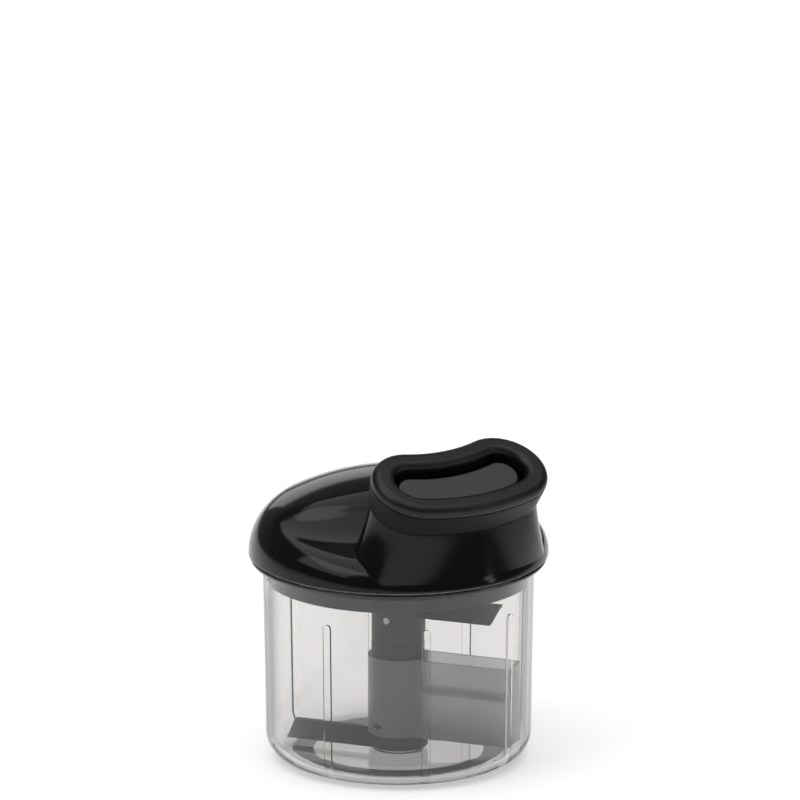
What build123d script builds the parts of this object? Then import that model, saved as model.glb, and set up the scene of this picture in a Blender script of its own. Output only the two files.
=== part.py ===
"""Pull-cord food chopper: bowl, blade unit, blade guard, scraper ring, domed lid and pull handle.

Millimetres. The origin is the centre of the base on the surface that the bowl stands on, +Z is up,
and +X points to the pull handle, so the lid is the same on both sides of the XZ plane.
"""
from build123d import *
import os
from math import acos, atan2, cos, degrees, hypot, radians, sin, sqrt, tan

# Bowl
BOWL_HEIGHT = 100.0
RIM_R = 71.0
RIM_THICKNESS = 2.4
RIM_ROUND = 1.1
RIM_ROOT_ROUND = 3.0
WALL_TOP_R = 65.2
WALL_FOOT_R = 63.6
BOWL_WALL = 2.4
BOWL_CORNER_R = 12.0
FLOOR_THICKNESS = 2.9
RIB_COUNT = 8
RIB_WIDTH = 3.9
RIB_DEPTH = 1.2
RIB_TOP_DROP = 20.0
RIB_START_R = 55.0
LUG_COUNT = 4
LUG_WIDTH = 10.5
LUG_HEIGHT = 2.4
LUG_DEPTH = 0.9
LUG_DROP = 7.8
FEATURE_ANGLE = 22.5
BOSS_R = 12.5
BOSS_HEIGHT = 1.5
PIN_R = 4.0
PIN_HEIGHT = 12.0
PIN_ROOT_ROUND = 0.8
PIN_TOP_CHAMFER = 0.7
PIN_HOLE_R = 1.6
PIN_HOLE_DEPTH = 6.0

# Non-slip ring under the base
FOOT_RING_R = 51.0
FOOT_RING_WIDTH = 10.0
FOOT_RING_PROUD = 0.6
FOOT_RING_SUNK = 0.6

# Blade unit
RUNNING_GAP = 0.05
REST_GAP = 0.3
BUSH_WALL = 2.0
BUSH_LENGTH = 13.5
BUSH_FLANGE_REACH = 2.0
BUSH_FLANGE_THICKNESS = 1.5
BUSH_FLANGE_Z = 3.0
BUSH_CHAMFER = 1.2
SLEEVE_R = 13.0
HEX_RIM_DROP = 11.0
SLEEVE_CORE_R = 8.5
SLEEVE_WEB = 2.5
STEP_R = 12.7
STEP_HEIGHT = 15.3
SEAT_R = 12.05
SEAT_HEIGHT = 7.0
SEAT_CHAMFER = 0.8
PARTING_ROUND = 0.5
HEAD_R = 12.9
HEAD_HEIGHT = 20.6
HEAD_ROUND = 2.0
SPIGOT_LENGTH = 12.0
SPIGOT_GAP = 0.1
COLLAR_R = 6.6
COLLAR_HEIGHT = 1.6
HEX_FLATS = 9.6
HEX_HEIGHT = 10.8
HEX_CHAMFER = 0.8
DIMPLE_R = 1.3
DIMPLE_DEPTH = 1.0
NOTCH_WIDTH = 2.4
NOTCH_DEPTH = 2.6
NOTCH_ANGLE = -40.0
DOT_R = 1.6
DOT_DEPTH = 0.8
DOT_DROP = 8.4
DOT_ANGLE = -62.0
BLADE_ANGLE = 34.0
BLADE_TIP_R = 57.4
BLADE_WIDTH = 14.6
BLADE_THICKNESS = 1.0
BLADE_RAKE = 1.0
BLADE_BEVEL = 2.6
BLADE_EDGE = 0.25
BLADE_ROOT_INSET = 1.3
BLADE_TIP_TAPER = 1.0
BLADE_GRIND_GAP = 1.0
LOWER_BLADE_HEIGHT = 10.2
UPPER_BLADE_SHARE = 0.555
PADDLE_TIP_R = 52.0
PADDLE_RISE = 1.3
PADDLE_HEIGHT = 8.2
PADDLE_LEAN = 6.0
PADDLE_THICKNESS = 2.2
PADDLE_FLANGE = 3.0
PADDLE_FLANGE_THICKNESS = 1.8
PADDLE_RAKE = 3.0

# Blade guard
GUARD_BORE_GAP = 0.5
GUARD_WALL = 1.2
GUARD_TOP_DROP = 14.0
GUARD_SIDE_GAP = 0.6
GUARD_TIP_GAP = 0.4
GUARD_CORNER_R = 2.5
GUARD_NECK_R = 4.0
GUARD_WINDOW_WIDTH = 6.0
GUARD_WINDOW_HEIGHT = 3.0
GUARD_WINDOW_Z = 3.0
GUARD_WINDOW_ANGLE = -80.0

# Scraper ring
SCRAPER_BORE_GAP = 0.1
SCRAPER_R = 14.0
SCRAPER_TIP_R = 54.0
SCRAPER_LEAN = 11.0
SCRAPER_THICKNESS = 1.8
SCRAPER_FLANGE = 2.4
SCRAPER_FLANGE_THICKNESS = 1.4
SCRAPER_RAKE = 0.5

# Lid dome and neck
SEAL_THICKNESS = 1.0
SEAL_INNER_LAP = 1.4
SEAL_RIM_INSET = 0.6
LID_R = 72.0
DOME_HEIGHT = 40.0
DOME_SIDE_R = 30.0
LID_WALL = 2.2
BRIM_HEIGHT = 3.5
FLANK_X = -29.4
PALM_R = 50.5
FLANK_R = 30.0
FLANK_LOW = 16.0
FLANK_SLOPE = 18.0
RIDGE_R = 13.0
NECK_INSET = 2.1
NECK_FOOT_X = 38.0
NECK_FOOT_LOBE_R = 20.0
NECK_FOOT_STEP = 0.4
NECK_FOOT_INNER = 12.0
NECK_FLARE_POWER = 1.4
NECK_SECTIONS = 6

# Pull handle: two lobes joined by an outer and an inner arc, on a dock that leans outwards
DOCK_X = 45.4
DOCK_HEIGHT = 36.0
DOCK_TILT = 25.0
LOBE_Y = 25.4
LOBE_R = 21.6
HANDLE_OUTER = 25.0
HANDLE_INNER = 18.4
HANDLE_SHELL_HEIGHT = 11.4
HANDLE_DRAFT = 1.8
RING_WIDTH = 11.0
GRIP_OUTER_HEIGHT = 5.0
GRIP_INNER_HEIGHT = 6.6
GRIP_OUTER_ROUND = 4.0
GRIP_INNER_ROUND = 3.4
HANDLE_PARTING_ROUND = 0.5

# Dock plate that the handle sits round
DOCK_GAP = 2.4
DOCK_THICKNESS = 2.6
DOCK_WALL = 2.2
DOCK_LEDGE = 1.2
DOCK_OUTER_RISE = 10.2
DOCK_INNER_RISE = 12.0
DOCK_ROUND = 1.2
FIT_GAP = 0.1

# Pull cord and its path
CORD_R = 1.2
CORD_GAP = 0.15
CORD_BEND_R = 6.0
CORD_WRAP = 150.0
EYELET_WALL = 0.6
EYELET_LIP = 0.4
EYELET_MARGIN = 1.4
CORD_KNEE_DROP = 4.6
EYELET_LIP_HEIGHT = 0.8
ANCHOR_WALL = 0.8
ANCHOR_HEIGHT = 6.4
ANCHOR_RECESS = 0.6
GUIDE_SIZE_X = 9.0
GUIDE_SIZE_Y = 9.0
GUIDE_CHEEK = 3.5

# Inner cover of the lid
SKIRT_R = 62.3
SKIRT_WALL = 2.0
SKIRT_DEPTH = 12.2
COVER_PLATE_DROP = 9.4
COVER_PLATE_THICKNESS = 2.4
SLOT_DEPTH = 1.0
SLOT_CLEARANCE = 0.4
TWIST_ANGLE = 18.0
COVER_BOSS_WALL = 3.0
COVER_BOSS_HEIGHT = 8.4
COVER_SCREW_PCR = 50.0
COVER_SCREW_ANGLE = 60.0
SCREW_R = 1.3
SCREW_HEAD_R = 2.8
SCREW_HEAD_HEIGHT = 1.6
SCREW_LENGTH = 8.0
SCREW_BOSS_R = 3.4
SCREW_RECESS_R = 1.1
SCREW_RECESS_DEPTH = 0.9

# Drive hub, clutch, drum and recoil spring
JOURNAL_R = 7.0
HUB_BUSH_WALL = 2.4
HUB_BUSH_LIP = 1.5
HUB_BUSH_LIP_HEIGHT = 1.0
HUB_NOSE_R = 8.5
HUB_NOSE_GAP = 0.4
HEX_SOCKET_GAP = 0.1
HUB_STUB_R = 5.0
HUB_STUB_LENGTH = 10.2
CLIP_THICKNESS = 1.0
CLIP_GROOVE_DEPTH = 1.0
CLIP_R = 9.0
CLIP_GAP = 0.3
CLUTCH_WALL = 3.95
DRUM_GAP = 0.7
DRUM_FLANGE_R = 20.0
DRUM_FLANGE_THICKNESS = 1.4
DRUM_CORE_R = 14.0
DRUM_WIDTH = 14.0
DRUM_WEB = 2.0
WINDING_DEPTH = 2.4
AXLE_R = 3.0
AXLE_SEAT = 4.0
ARBOR_R = 5.0
CUP_GAP = 1.0
CUP_R = 17.4
CUP_WALL = 1.4
CUP_HEIGHT = 10.0
EAR_R = 4.0
EAR_REACH = 3.1
EAR_COUNT = 3
SPRING_TURNS = 6
SPRING_THICKNESS = 0.5
SPRING_EDGE_GAP = 0.8
HANDLE_SCREW_R = 1.1
HANDLE_SCREW_HEAD_R = 2.0
HANDLE_SCREW_INSET = 5.4
HANDLE_SCREW_LENGTH = 13.0
HANDLE_SCREW_ANGLES = (50.0, 165.0)

# Heights and radii that follow from the sizes above
BASE_Z = FOOT_RING_PROUD
FLOOR_Z = BASE_Z + FLOOR_THICKNESS
BOSS_TOP = FLOOR_Z + BOSS_HEIGHT
RIM_UNDER_Z = BOWL_HEIGHT - RIM_THICKNESS
LUG_Z = BOWL_HEIGHT - LUG_DROP
BUSH_BORE_R = PIN_R + RUNNING_GAP
BUSH_R = BUSH_BORE_R + BUSH_WALL
BUSH_FLANGE_R = BUSH_R + BUSH_FLANGE_REACH
BUSH_POCKET_TOP = BOSS_TOP + BUSH_LENGTH + REST_GAP
FOOT_Z = BOSS_TOP + REST_GAP
HEX_TOP = BOWL_HEIGHT - HEX_RIM_DROP
HEAD_TOP = HEX_TOP - HEX_HEIGHT
SLEEVE_TOP = HEAD_TOP - HEAD_HEIGHT
SLEEVE_HEIGHT = SLEEVE_TOP - BOSS_TOP
UPPER_BLADE_HEIGHT = UPPER_BLADE_SHARE * SLEEVE_HEIGHT
PADDLE_TOP = HEAD_TOP + PADDLE_RISE
GUARD_HEIGHT = SLEEVE_HEIGHT - GUARD_TOP_DROP
SEAL_INNER_R = WALL_TOP_R - SEAL_INNER_LAP
SEAL_OUTER_R = RIM_R - SEAL_RIM_INSET
SCRAPER_Z = FOOT_Z
GUARD_Z = BOSS_TOP + SEAT_HEIGHT - RUNNING_GAP * 2
SCRAPER_HEIGHT = GUARD_Z - REST_GAP - SCRAPER_Z
LID_Z = BOWL_HEIGHT + SEAL_THICKNESS
DOCK_Z = LID_Z + DOCK_HEIGHT
DOCK_INSET = NECK_INSET + LID_WALL - DOCK_LEDGE
GRIP_LOW = HANDLE_SHELL_HEIGHT
SKIRT_Z = LID_Z - SKIRT_DEPTH
COVER_Z = LID_Z - COVER_PLATE_DROP
COVER_TOP = COVER_Z + COVER_PLATE_THICKNESS
COVER_FLANGE_THICKNESS = BRIM_HEIGHT - LID_WALL - FIT_GAP
BUSH_SEAT_R = JOURNAL_R + RUNNING_GAP + HUB_BUSH_WALL
COVER_BOSS_TOP = COVER_Z + COVER_BOSS_HEIGHT
CLIP_Z = COVER_BOSS_TOP + CLIP_GAP
JOURNAL_TOP = CLIP_Z + 2 * CLIP_THICKNESS
DRUM_Z = JOURNAL_TOP + DRUM_GAP
DRUM_TOP = DRUM_Z + DRUM_WIDTH
CLUTCH_R = HUB_STUB_R + RUNNING_GAP + CLUTCH_WALL
CLUTCH_TOP = JOURNAL_TOP + HUB_STUB_LENGTH + REST_GAP
WINDING_R = DRUM_CORE_R + WINDING_DEPTH
CUP_Z = DRUM_TOP + CUP_GAP
CUP_TOP = CUP_Z + CUP_HEIGHT
CORD_Z = DRUM_Z + DRUM_FLANGE_THICKNESS + CORD_R + REST_GAP
CORD_COIL_R = WINDING_R + CORD_R + CORD_GAP
EYELET_R = CORD_R + CORD_GAP + EYELET_WALL
CORD_X = NECK_INSET + LID_WALL + EYELET_R + EYELET_LIP + EYELET_MARGIN - HANDLE_INNER
ANCHOR_R = CORD_R + CORD_GAP + ANCHOR_WALL
FAR = 4 * LID_R
DOCK = Location((DOCK_X, 0, DOCK_Z), (0, DOCK_TILT, 0))


def at_angle(shape, angle):
    """Turn a shape made along +X about the vertical axis."""
    return Rot(0, 0, angle) * shape


def cylinder(radius, low, high, x=0.0, y=0.0):
    """Upright cylinder between two heights."""
    return Pos(x, y, low) * Cylinder(radius, high - low, align=(Align.CENTER, Align.CENTER, Align.MIN))


def tube(outer, inner, low, high, x=0.0, y=0.0):
    """Upright tube between two heights."""
    return cylinder(outer, low, high, x, y) - cylinder(inner, low, high, x, y)


def slab(x_low, x_high, width, low, high):
    """Box from x_low to x_high, centred on y = 0, between two heights."""
    return Pos(x_low, 0, low) * Box(x_high - x_low, width, high - low,
                                    align=(Align.MIN, Align.CENTER, Align.MIN))


def turned(points, rounds=()):
    """Solid of revolution of an (r, z) outline, with (r, z, radius) roundings at its corners."""
    outline = make_face(Polyline(*points, close=True))
    for r, z, radius in rounds:
        corner = outline.vertices().sort_by_distance((r, z))[0]
        outline = fillet(corner, radius)
    return revolve(Plane.XZ * outline, Axis.Z)


def stadium_bar(width, low, top, r_low, r_high):
    """Radial bar along +X with a half-round top, as seen along the radius."""
    face = Pos(0, (low + top - width / 2) / 2) * Rectangle(width, top - width / 2 - low)
    face += Pos(0, top - width / 2) * Circle(width / 2)
    return extrude(Plane(origin=(r_low, 0, 0), x_dir=(0, 1, 0), z_dir=(1, 0, 0)) * face, r_high - r_low)


def bowl():
    """Clear bowl with inner ribs, bayonet lugs, and the pin that the blade unit turns on."""
    inner_top_r = WALL_TOP_R - BOWL_WALL
    inner_foot_r = WALL_FOOT_R - BOWL_WALL
    inner_corner_r = BOWL_CORNER_R - BOWL_WALL
    outside = turned(
        [(0, BASE_Z), (WALL_FOOT_R, BASE_Z), (WALL_TOP_R, RIM_UNDER_Z), (RIM_R, RIM_UNDER_Z),
         (RIM_R, BOWL_HEIGHT), (0, BOWL_HEIGHT)],
        [(WALL_FOOT_R, BASE_Z, BOWL_CORNER_R), (WALL_TOP_R, RIM_UNDER_Z, RIM_ROOT_ROUND),
         (RIM_R, RIM_UNDER_Z, RIM_ROUND), (RIM_R, BOWL_HEIGHT, RIM_ROUND)])

    def cavity(inset):
        """Inside of the bowl, with its wall moved in by an inset."""
        return turned(
            [(0, FLOOR_Z), (inner_foot_r - inset, FLOOR_Z), (inner_top_r - inset, BOWL_HEIGHT),
             (inner_top_r - inset, BOWL_HEIGHT + BOWL_WALL), (0, BOWL_HEIGHT + BOWL_WALL)],
            [(inner_foot_r - inset, FLOOR_Z, inner_corner_r)])

    body = outside - cavity(0)
    rib = stadium_bar(RIB_WIDTH, FLOOR_Z, BOWL_HEIGHT - RIB_TOP_DROP, RIB_START_R, WALL_TOP_R)
    rib = (rib & cavity(-BOWL_WALL / 2)) - cavity(RIB_DEPTH)
    lug_face = Plane(origin=(inner_top_r - LUG_DEPTH, 0, LUG_Z), x_dir=(0, 1, 0), z_dir=(1, 0, 0))
    lug = extrude(lug_face * SlotOverall(LUG_WIDTH, LUG_HEIGHT), LUG_DEPTH + BOWL_WALL / 2)
    for index in range(RIB_COUNT):
        body += at_angle(rib, FEATURE_ANGLE + index * 360 / RIB_COUNT)
    for index in range(LUG_COUNT):
        body += at_angle(lug, index * 360 / LUG_COUNT - FEATURE_ANGLE)
    pin_top = BOSS_TOP + PIN_HEIGHT
    post = turned(
        [(0, FLOOR_Z - FLOOR_THICKNESS / 2), (BOSS_R, FLOOR_Z - FLOOR_THICKNESS / 2), (BOSS_R, BOSS_TOP),
         (PIN_R, BOSS_TOP), (PIN_R, pin_top - PIN_TOP_CHAMFER), (PIN_R - PIN_TOP_CHAMFER, pin_top),
         (0, pin_top)],
        [(PIN_R, BOSS_TOP, PIN_ROOT_ROUND), (BOSS_R, BOSS_TOP, PIN_ROOT_ROUND)])
    body += post
    body -= cylinder(PIN_HOLE_R, pin_top - PIN_HOLE_DEPTH, pin_top + PIN_HOLE_DEPTH)
    return body - non_slip_ring()


def non_slip_ring():
    """Soft ring pressed into the groove under the base."""
    return tube(FOOT_RING_R, FOOT_RING_R - FOOT_RING_WIDTH, 0, FOOT_RING_PROUD + FOOT_RING_SUNK)


def pin_bush():
    """Bearing bush on the bowl's pin, held in the spindle sleeve by its flange."""
    flange_z = BOSS_TOP + BUSH_FLANGE_Z
    bush = tube(BUSH_R, BUSH_BORE_R, BOSS_TOP, BOSS_TOP + BUSH_LENGTH)
    bush += tube(BUSH_FLANGE_R, BUSH_BORE_R, flange_z, flange_z + BUSH_FLANGE_THICKNESS)
    mouth = bush.edges().filter_by(GeomType.CIRCLE).group_by(Axis.Z)[0].sort_by(SortBy.RADIUS)[0]
    return chamfer(mouth, BUSH_CHAMFER)


def blade(height):
    """Flat steel blade with a ground edge and a raked tip, cast into the sleeve at its root."""
    root = SLEEVE_CORE_R + BLADE_ROOT_INSET
    half = BLADE_WIDTH / 2
    low = BOSS_TOP + height - BLADE_THICKNESS / 2
    outline = make_face(Polyline((root, -half), (BLADE_TIP_R - BLADE_RAKE, -half),
                                 (BLADE_TIP_R - BLADE_TIP_TAPER, half), (root, half), close=True))
    strip = extrude(Pos(0, 0, low) * outline, BLADE_THICKNESS)
    strip &= cylinder(BLADE_TIP_R, low, low + BLADE_THICKNESS)
    grind = make_face(Polyline((half - BLADE_BEVEL, low + BLADE_THICKNESS), (half, low + BLADE_EDGE),
                               (half + BLADE_BEVEL, low + BLADE_EDGE),
                               (half + BLADE_BEVEL, low + BLADE_THICKNESS), close=True))
    ground_face = Plane(origin=(SLEEVE_R + BLADE_GRIND_GAP, 0, 0), x_dir=(0, 1, 0), z_dir=(1, 0, 0))
    strip -= extrude(ground_face * grind, BLADE_TIP_R)
    return at_angle(strip, BLADE_ANGLE)


def vane(tip_r, top, height, lean, thickness, flange, flange_thickness, rake):
    """Leaning arm along +X with a narrow top flange; its lower edge leans to -Y and its end is raked."""
    section = make_face(Polyline(
        (flange, top), (-thickness / 2, top), (-thickness / 2 - lean, top - height),
        (thickness / 2 - lean, top - height), (thickness / 2, top - flange_thickness),
        (flange, top - flange_thickness), close=True))
    arm = extrude(Plane(origin=(0, 0, 0), x_dir=(0, 1, 0), z_dir=(1, 0, 0)) * section, tip_r)
    end = make_face(Polyline((tip_r, top), (tip_r - rake, top - height), (tip_r + rake, top - height),
                             (tip_r + rake, top), close=True))
    end_face = Plane(origin=(0, FAR / 2, 0), x_dir=(1, 0, 0), z_dir=(0, -1, 0))
    return arm - extrude(end_face * end, FAR)


def spindle_sleeve():
    """Turned sleeve that carries the blades, with the foot that the scraper ring snaps on."""
    seat_top = BOSS_TOP + SEAT_HEIGHT
    step_top = BOSS_TOP + STEP_HEIGHT
    core_low = BUSH_POCKET_TOP + SLEEVE_WEB
    sleeve = turned(
        [(0, FOOT_Z), (SEAT_R - SEAT_CHAMFER, FOOT_Z), (SEAT_R, FOOT_Z + SEAT_CHAMFER), (SEAT_R, seat_top),
         (STEP_R, seat_top), (STEP_R, step_top), (SLEEVE_R, step_top), (SLEEVE_R, SLEEVE_TOP),
         (0, SLEEVE_TOP)],
        [(SLEEVE_R, SLEEVE_TOP, PARTING_ROUND)])
    flange_z = BOSS_TOP + BUSH_FLANGE_Z
    sleeve -= cylinder(BUSH_R + RUNNING_GAP, BOSS_TOP, BUSH_POCKET_TOP)
    sleeve -= cylinder(BUSH_FLANGE_R + RUNNING_GAP, flange_z - RUNNING_GAP,
                       flange_z + BUSH_FLANGE_THICKNESS + RUNNING_GAP)
    sleeve -= cylinder(SLEEVE_CORE_R, core_low, SLEEVE_TOP)
    return sleeve - blade(LOWER_BLADE_HEIGHT) - blade(UPPER_BLADE_HEIGHT)


def index_dot():
    """White marker let into the side of the spindle head."""
    centre_z = HEAD_TOP - DOT_DROP
    plug_face = Plane(origin=(HEAD_R - DOT_DEPTH, 0, centre_z), x_dir=(0, 1, 0), z_dir=(1, 0, 0))
    plug = extrude(plug_face * Circle(DOT_R), 2 * DOT_DEPTH)
    return at_angle(plug & cylinder(HEAD_R, SLEEVE_TOP, HEAD_TOP), DOT_ANGLE)


def spindle_head():
    """Upper end of the blade unit, with the mixing paddle and the hexagon that the lid drives."""
    head = turned(
        [(0, SLEEVE_TOP), (HEAD_R, SLEEVE_TOP), (HEAD_R, HEAD_TOP), (0, HEAD_TOP)],
        [(HEAD_R, SLEEVE_TOP, PARTING_ROUND), (HEAD_R, HEAD_TOP, HEAD_ROUND)])
    head += cylinder(SLEEVE_CORE_R - SPIGOT_GAP, SLEEVE_TOP - SPIGOT_LENGTH, SLEEVE_TOP)
    notch = slab(HEAD_R - NOTCH_DEPTH, HEAD_R + NOTCH_DEPTH, NOTCH_WIDTH, HEAD_TOP - NOTCH_DEPTH, HEAD_TOP)
    head -= at_angle(notch, NOTCH_ANGLE)
    paddle = vane(PADDLE_TIP_R, PADDLE_TOP, PADDLE_HEIGHT, PADDLE_LEAN, PADDLE_THICKNESS,
                  PADDLE_FLANGE, PADDLE_FLANGE_THICKNESS, PADDLE_RAKE)
    paddle -= cylinder(SLEEVE_CORE_R, BOSS_TOP, HEX_TOP)
    head += at_angle(paddle, BLADE_ANGLE)
    head += cylinder(COLLAR_R, HEAD_TOP, HEAD_TOP + COLLAR_HEIGHT)
    hexagon = RegularPolygon(HEX_FLATS / 2, 6, major_radius=False)
    stub = extrude(Pos(0, 0, HEAD_TOP) * hexagon, HEX_HEIGHT)
    head += chamfer(stub.edges().group_by(Axis.Z)[-1], HEX_CHAMFER)
    head -= cylinder(DIMPLE_R, HEX_TOP - DIMPLE_DEPTH, HEX_TOP + DIMPLE_DEPTH)
    return head - index_dot()


def blade_guard():
    """Keyhole-shaped cover, open at the top, that slides over the blades from below."""
    bore_r = SLEEVE_R + GUARD_BORE_GAP
    tube_r = bore_r + GUARD_WALL
    inner_half = BLADE_WIDTH / 2 + GUARD_SIDE_GAP
    outer_half = inner_half + GUARD_WALL
    inner_tip = BLADE_TIP_R + GUARD_TIP_GAP
    outer_tip = inner_tip + GUARD_WALL

    def pocket(half, tip, corner):
        """Plan of the pocket that takes the blades, from the axis outwards."""
        plan = make_face(Polyline((0, -half), (tip, -half), (tip, half), (0, half), close=True))
        return fillet(plan.vertices().group_by(Axis.X)[-1], corner)

    neck_x = sqrt(tube_r ** 2 - outer_half ** 2)
    plan = Circle(tube_r) + pocket(outer_half, outer_tip, GUARD_CORNER_R)
    necks = plan.vertices().sort_by_distance((neck_x, outer_half))[:1]
    necks += plan.vertices().sort_by_distance((neck_x, -outer_half))[:1]
    plan = fillet(necks, GUARD_NECK_R)
    guard = extrude(Pos(0, 0, GUARD_Z) * plan, GUARD_HEIGHT)
    guard -= cylinder(bore_r, GUARD_Z, GUARD_Z + GUARD_HEIGHT)
    inside = pocket(inner_half, inner_tip, GUARD_CORNER_R - GUARD_WALL)
    guard -= extrude(Pos(0, 0, GUARD_Z + GUARD_WALL) * inside, GUARD_HEIGHT)
    window_low = GUARD_Z + GUARD_WINDOW_Z
    window = slab(bore_r - GUARD_WALL, tube_r + GUARD_WALL, GUARD_WINDOW_WIDTH, window_low,
                  window_low + GUARD_WINDOW_HEIGHT)
    return at_angle(guard, BLADE_ANGLE) - at_angle(window, GUARD_WINDOW_ANGLE)


def scraper_ring():
    """Ring that snaps on the spindle's foot, with one arm that sweeps the floor of the bowl."""
    top = SCRAPER_Z + SCRAPER_HEIGHT
    bore_r = SEAT_R + SCRAPER_BORE_GAP
    arm = vane(SCRAPER_TIP_R, top, SCRAPER_HEIGHT - REST_GAP, SCRAPER_LEAN, SCRAPER_THICKNESS,
               SCRAPER_FLANGE, SCRAPER_FLANGE_THICKNESS, SCRAPER_RAKE)
    ring = cylinder(SCRAPER_R, SCRAPER_Z, top) + mirror(arm, about=Plane.XZ)
    return at_angle(ring - cylinder(bore_r, SCRAPER_Z, top), BLADE_ANGLE + 180)


def bean(lobe_y, lobe_r, outer, inner):
    """Two lobes on the Y axis, joined by an arc through x = outer and a hollow arc through x = -inner."""
    outer_reach = outer - lobe_r
    inner_reach = lobe_r - inner
    outer_x = (outer_reach ** 2 - lobe_y ** 2) / (2 * outer_reach)
    inner_x = (inner_reach ** 2 - lobe_y ** 2) / (2 * inner_reach)
    out_angle = atan2(lobe_y, -outer_x)
    in_angle = radians(180) + atan2(lobe_y, -inner_x)
    mid_angle = (out_angle + in_angle) / 2

    def on_lobe(angle, side):
        """Point of a lobe's circle, on the +Y or -Y side."""
        return lobe_r * cos(angle), side * (lobe_y + lobe_r * sin(angle))

    edges = [ThreePointArc(on_lobe(out_angle, -1), (outer, 0), on_lobe(out_angle, 1)),
             ThreePointArc(on_lobe(out_angle, 1), on_lobe(mid_angle, 1), on_lobe(in_angle, 1)),
             ThreePointArc(on_lobe(in_angle, 1), (-inner, 0), on_lobe(in_angle, -1)),
             ThreePointArc(on_lobe(in_angle, -1), on_lobe(mid_angle, -1), on_lobe(out_angle, -1))]
    return make_face(edges)


def handle_plan(offset=0.0):
    """Plan of the handle on its dock, moved out by an offset."""
    return bean(LOBE_Y, LOBE_R + offset, HANDLE_OUTER + offset, HANDLE_INNER + offset)


def handle_column(offset, low, high):
    """Column on the handle's plan, square to the dock."""
    return extrude(Pos(0, 0, low) * handle_plan(offset), high - low)


def neck_form(inset):
    """Neck from the lid's edge, where it follows the rim, up to the leaning dock."""
    foot_r = LID_R - NECK_FOOT_STEP
    foot_lobe_y = sqrt((foot_r - NECK_FOOT_LOBE_R) ** 2 - NECK_FOOT_X ** 2)
    sections = []
    for index in range(NECK_SECTIONS):
        rise = index / (NECK_SECTIONS - 1)
        flare = (1 - rise) ** NECK_FLARE_POWER

        def between(dock, foot):
            """Value between its size at the dock and at the foot of the neck."""
            return dock + (foot - dock) * flare

        plan = bean(between(LOBE_Y, foot_lobe_y),
                    between(LOBE_R - NECK_INSET, NECK_FOOT_LOBE_R) - inset,
                    between(HANDLE_OUTER - NECK_INSET, foot_r - NECK_FOOT_X) - inset,
                    between(HANDLE_INNER - NECK_INSET, NECK_FOOT_INNER) - inset)
        place = Location((between(DOCK_X, NECK_FOOT_X), 0, DOCK_HEIGHT * rise), (0, DOCK_TILT * rise, 0))
        sections.append(place * plan)
    return loft(sections)


def lid_form(inset):
    """Dome with a palm rest, hollow front flank and flared neck, moved in by an inset."""
    reach_in = LID_R - DOME_SIDE_R
    crown_r = (reach_in ** 2 + DOME_HEIGHT ** 2 - DOME_SIDE_R ** 2) / (2 * (DOME_HEIGHT - DOME_SIDE_R))
    crown_z = DOME_HEIGHT - crown_r
    turn = degrees(atan2(-crown_z, reach_in))
    side = CenterArc((reach_in, 0), DOME_SIDE_R - inset, 0, turn)
    crown = CenterArc((0, crown_z), crown_r - inset, turn, 90 - turn)
    dome_face = make_face([side, crown, Line(crown @ 1, (0, 0)), Line((0, 0), side @ 0)])
    dome = revolve(Plane.XZ * dome_face, Axis.Z)
    palm = PALM_R - inset
    hollow = CenterArc((palm + FLANK_R + inset, FLANK_LOW + FLANK_R), FLANK_R + inset, 180, 90 - FLANK_SLOPE)
    foot = hollow @ 1
    low = foot.Y - (FAR - foot.X) * tan(radians(FLANK_SLOPE))
    edges = [hollow, Line(foot, (FAR, low)), Line((FAR, low), (FAR, -FAR)),
             Line((FAR, -FAR), (0, -FAR)), Line((0, -FAR), (0, FAR)), Line((0, FAR), (palm, FAR)),
             Line((palm, FAR), hollow @ 0)]
    trumpet = revolve(Plane.XZ * make_face(edges), Axis.Z)
    form = dome & (Pos(FLANK_X, 0, 0) * trumpet)
    ridge = [e for e in form.edges() if hypot(e.center().X, e.center().Y) > reach_in + DOME_SIDE_R / 2
             and FIT_GAP < e.center().Z < FLANK_LOW + RIDGE_R]
    form = fillet(ridge, RIDGE_R - inset) + neck_form(inset)
    return Pos(0, 0, LID_Z) * form


def cover_screw_places():
    """Plan positions of the screws that hold the inner cover to the lid."""
    angles = (COVER_SCREW_ANGLE, 180 - COVER_SCREW_ANGLE, 180 + COVER_SCREW_ANGLE, 360 - COVER_SCREW_ANGLE)
    return [(COVER_SCREW_PCR * cos(radians(a)), COVER_SCREW_PCR * sin(radians(a))) for a in angles]


def cup_screw_places():
    """Plan positions of the spring cup's ears, clear of the cord's side."""
    reach = CUP_R + EAR_REACH
    angles = [90 + index * 180 / (EAR_COUNT - 1) for index in range(EAR_COUNT)]
    return [(reach * cos(radians(a)), reach * sin(radians(a))) for a in angles]


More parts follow.
